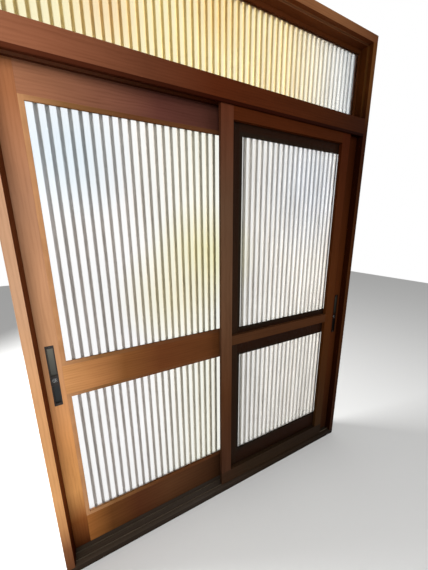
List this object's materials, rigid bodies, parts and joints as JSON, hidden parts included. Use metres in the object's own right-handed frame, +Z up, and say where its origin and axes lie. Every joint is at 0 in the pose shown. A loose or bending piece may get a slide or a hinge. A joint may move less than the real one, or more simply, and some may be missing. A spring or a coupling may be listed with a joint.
{
  "type": "pair of sliding doors",
  "caption": "Timber frame with glazed lattice doors and a slim insect screen that slide past each other on sill rails, under a glazed transom light.",
  "frame": {"origin": "middle of the sill's underside", "axes": "+X along the wall to the right, +Y from the room out, +Z up"},
  "size_m": [1.616, 0.11, 2.328],
  "materials": {
    "sill_wood": "dark worn oil finish",
    "frame_wood": "aged oil finish, satin",
    "head_wood": "aged oil finish, satin",
    "door_wood": "aged cedar, satin",
    "bead_wood": "aged cedar, satin",
    "lattice_wood": "weathered outside slats",
    "screen_wood": "darker stained cedar, satin",
    "brass_rail": "drawn, worn bright on top",
    "dark_metal": "black satin",
    "zinc_steel": "zinc plated",
    "wheel_steel": "turned steel",
    "axle_steel": "ground steel",
    "turn_chrome": "polished",
    "frosted_glass": "acid-frosted on the room side",
    "transom_glass": "frosted",
    "insect_mesh": "woven fibre mesh, matt"
  },
  "bodies": {
    "frame": {"sill": "sill_wood", "track_rails": "brass_rail", "left_jamb": "frame_wood", "right_jamb": "frame_wood", "head_rail": "head_wood", "transom_head": "frame_wood", "transom_glass": "transom_glass", "transom_beads": "frame_wood", "transom_lattice": "lattice_wood", "strike_plates": "dark_metal"},
    "left_door": {"left_bottom_rail": "door_wood", "left_glazing_beads": "bead_wood", "left_lattice": "lattice_wood", "left_lock_case": "zinc_steel", "left_lock_plate": "dark_metal", "left_lower_glass": "frosted_glass", "left_meeting_stile": "door_wood", "left_mid_rail": "door_wood", "left_outer_stile": "door_wood", "left_outside_plate": "dark_metal", "left_roller_cases": "zinc_steel", "left_top_rail": "door_wood", "left_upper_glass": "frosted_glass"},
    "right_door": {"right_bottom_rail": "door_wood", "right_glazing_beads": "bead_wood", "right_lattice": "lattice_wood", "right_lock_case": "zinc_steel", "right_lock_plate": "dark_metal", "right_lower_glass": "frosted_glass", "right_meeting_stile": "door_wood", "right_mid_rail": "door_wood", "right_outer_stile": "door_wood", "right_outside_plate": "dark_metal", "right_roller_cases": "zinc_steel", "right_top_rail": "door_wood", "right_upper_glass": "frosted_glass"},
    "screen": {"screen_battens": "screen_wood", "screen_bottom_rail": "screen_wood", "screen_left_stile": "screen_wood", "screen_mesh": "insect_mesh", "screen_mid_rail": "screen_wood", "screen_right_stile": "screen_wood", "screen_roller_cases": "zinc_steel", "screen_top_rail": "screen_wood"},
    "left_lock": {"left_thumb_turn": "turn_chrome", "left_hook_bolt": "axle_steel"},
    "right_lock": {"right_thumb_turn": "turn_chrome", "right_hook_bolt": "axle_steel"},
    "left_wheel_a_body": {"left_wheel_a": "wheel_steel"},
    "left_wheel_b_body": {"left_wheel_b": "wheel_steel"},
    "right_wheel_a_body": {"right_wheel_a": "wheel_steel"},
    "right_wheel_b_body": {"right_wheel_b": "wheel_steel"},
    "screen_wheel_a_body": {"screen_wheel_a": "wheel_steel"},
    "screen_wheel_b_body": {"screen_wheel_b": "wheel_steel"}
  },
  "joints": [
    {"name": "left_door_slide", "type": "slide", "parent": "frame", "child": "left_door", "axis": [1, 0, 0], "range_m": [0, 0.748]},
    {"name": "right_door_slide", "type": "slide", "parent": "frame", "child": "right_door", "axis": [1, 0, 0], "range_m": [-0.748, 0]},
    {"name": "screen_slide", "type": "slide", "parent": "frame", "child": "screen", "axis": [1, 0, 0], "range_m": [-0.706, 0.088]},
    {"name": "left_lock_turn", "type": "hinge", "parent": "left_door", "child": "left_lock", "pos_m": [-0.74725, 0.0225, 0.867], "axis": [0, 1, 0], "range_deg": [0, 66]},
    {"name": "right_lock_turn", "type": "hinge", "parent": "right_door", "child": "right_lock", "pos_m": [0.74725, -0.0075, 0.867], "axis": [0, -1, 0], "range_deg": [0, 66]},
    {"name": "left_wheel_a_spin", "type": "hinge", "parent": "left_door", "child": "left_wheel_a_body", "pos_m": [-0.658, 0.0225, 0.0464], "axis": [0, 1, 0], "continuous": true},
    {"name": "left_wheel_b_spin", "type": "hinge", "parent": "left_door", "child": "left_wheel_b_body", "pos_m": [-0.09, 0.0225, 0.0464], "axis": [0, 1, 0], "continuous": true},
    {"name": "right_wheel_a_spin", "type": "hinge", "parent": "right_door", "child": "right_wheel_a_body", "pos_m": [0.658, -0.0075, 0.0464], "axis": [0, 1, 0], "continuous": true},
    {"name": "right_wheel_b_spin", "type": "hinge", "parent": "right_door", "child": "right_wheel_b_body", "pos_m": [0.09, -0.0075, 0.0464], "axis": [0, 1, 0], "continuous": true},
    {"name": "screen_wheel_a_spin", "type": "hinge", "parent": "screen", "child": "screen_wheel_a_body", "pos_m": [0.048, -0.036, 0.0464], "axis": [0, 1, 0], "continuous": true},
    {"name": "screen_wheel_b_spin", "type": "hinge", "parent": "screen", "child": "screen_wheel_b_body", "pos_m": [0.57, -0.036, 0.0464], "axis": [0, 1, 0], "continuous": true}
  ],
  "couplings": [
    {"joint": "left_wheel_a_spin", "follows": "left_door_slide", "rad_per_m": 100},
    {"joint": "left_wheel_b_spin", "follows": "left_door_slide", "rad_per_m": 100},
    {"joint": "right_wheel_a_spin", "follows": "right_door_slide", "rad_per_m": 100},
    {"joint": "right_wheel_b_spin", "follows": "right_door_slide", "rad_per_m": 100},
    {"joint": "screen_wheel_a_spin", "follows": "screen_slide", "rad_per_m": 100},
    {"joint": "screen_wheel_b_spin", "follows": "screen_slide", "rad_per_m": 100}
  ]
}
